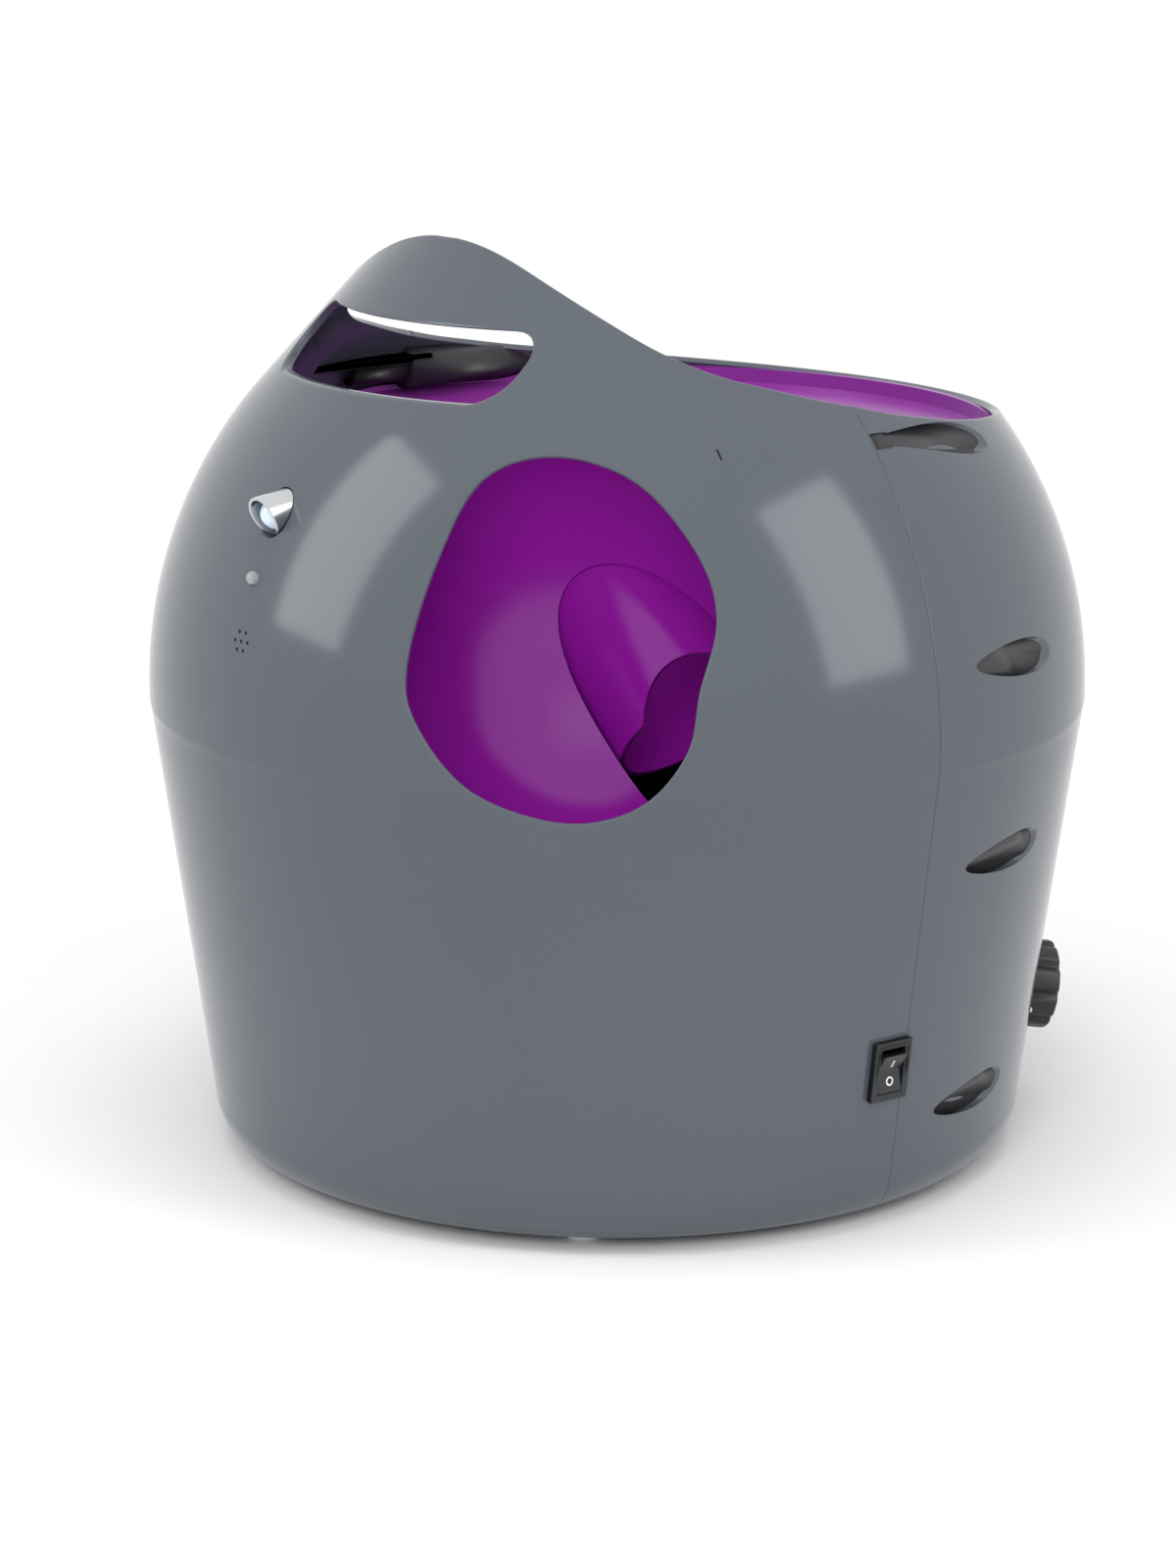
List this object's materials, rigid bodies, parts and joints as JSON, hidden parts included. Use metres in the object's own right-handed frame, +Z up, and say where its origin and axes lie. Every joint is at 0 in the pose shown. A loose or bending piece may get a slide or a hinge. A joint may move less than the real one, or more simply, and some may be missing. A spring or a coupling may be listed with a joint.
{
  "type": "automatic dog ball launcher",
  "caption": "Domed automatic dog ball launcher: open ball hopper on top, feed chute, launch chamber and a motor-driven spring plunger behind the front opening.",
  "frame": {"origin": "on the floor under the centre of the round casing", "axes": "+Z up; -Y is the front, where the handle, the motion sensor and the launch direction face; +X is the right-hand side seen from the front; the two shells meet in the plane Y = 0"},
  "size_m": [0.325, 0.325, 0.3232],
  "materials": {
    "grey_shell": "gloss",
    "purple": "gloss",
    "black_plastic": "satin",
    "grey_plastic": "satin",
    "gear_plastic": "satin",
    "brass": "machined",
    "steel": "plain",
    "silver": "satin",
    "clear": "clear",
    "clear_rubber": "clear",
    "cell_jacket": "satin",
    "board_green": "satin",
    "chip": "matte"
  },
  "bodies": {
    "casing": {"front_shell": "grey_shell", "rear_shell": "grey_shell", "shell_screws": "steel", "hopper_funnel": "purple", "feed_chute": "purple", "launch_chamber": "purple", "detent_leaf": "steel", "pivot_stand": "grey_plastic", "pivot_bearing": "grey_plastic", "base_plate": "black_plastic", "base_screws": "steel", "foot_right_rear": "clear_rubber", "foot_left_rear": "clear_rubber", "foot_left_front": "clear_rubber", "foot_right_front": "clear_rubber", "battery_box": "black_plastic", "battery_door": "black_plastic", "door_screws": "steel", "battery_1": "cell_jacket", "battery_2": "cell_jacket", "battery_3": "cell_jacket", "battery_4": "cell_jacket", "battery_5": "cell_jacket", "battery_6": "cell_jacket", "circuit_board": "board_green", "board_posts": "grey_plastic", "board_chips": "chip", "speaker": "black_plastic", "sensor_hood": "silver", "sensor_lens": "clear", "sensor_board": "board_green", "status_lamp": "clear", "power_switch_body": "black_plastic", "dial_encoder": "black_plastic", "power_inlet": "black_plastic"},
    "launcher": {"launch_barrel": "black_plastic", "angle_shaft": "steel", "angle_detent_disc": "grey_plastic", "tube_end_cap": "black_plastic", "gear_plate_inner": "steel", "gear_plate_outer": "steel", "drive_motor": "steel", "launch_spring": "steel"},
    "plunger": {"plunger": "black_plastic", "plunger_rack": "gear_plastic"},
    "drive": {"drive_gear": "gear_plastic", "large_gear": "gear_plastic", "drive_shaft": "steel"},
    "compound": {"compound_gear": "gear_plastic", "compound_shaft": "steel"},
    "pinion": {"motor_pinion": "brass", "motor_shaft": "steel"},
    "rocker": {"power_rocker": "black_plastic"},
    "dial": {"distance_dial": "black_plastic"}
  },
  "joints": [
    {"name": "launch_angle", "type": "hinge", "parent": "casing", "child": "launcher", "pos_m": [0.102, -0.004, 0.124], "axis": [-1, 0, 0], "range_deg": [-4, 4]},
    {"name": "drive_spin", "type": "hinge", "parent": "launcher", "child": "drive", "pos_m": [0.102, 0.02421, 0.0419], "axis": [-1, 0, 0], "range_deg": [0, 143.2]},
    {"name": "plunger_slide", "type": "slide", "parent": "launcher", "child": "plunger", "axis": [0, 0.7071, -0.7071], "range_m": [0, 0.03], "deforming": ["launch_spring"]},
    {"name": "compound_spin", "type": "hinge", "parent": "launcher", "child": "compound", "pos_m": [0.102, 0.00042, 0.053], "axis": [-1, 0, 0], "range_deg": [-478, 0]},
    {"name": "motor_spin", "type": "hinge", "parent": "launcher", "child": "pinion", "pos_m": [0.102, -0.01602, 0.06944], "axis": [-1, 0, 0], "range_deg": [0, 1719]},
    {"name": "power_press", "type": "hinge", "parent": "casing", "child": "rocker", "pos_m": [0.14589, -0.00713, 0.05828], "axis": [-0.0488, -0.9988, 0], "range_deg": [0, 14]},
    {"name": "distance_turn", "type": "hinge", "parent": "casing", "child": "dial", "pos_m": [0.07616, 0.1319, 0.04517], "axis": [0.4952, 0.8577, -0.1382], "range_deg": [0, 320]}
  ],
  "couplings": [
    {"joint": "plunger_slide", "follows": "drive_spin", "m_per_rad": 0.012},
    {"joint": "compound_spin", "follows": "drive_spin", "ratio": -3.3333},
    {"joint": "motor_spin", "follows": "drive_spin", "ratio": 12}
  ]
}
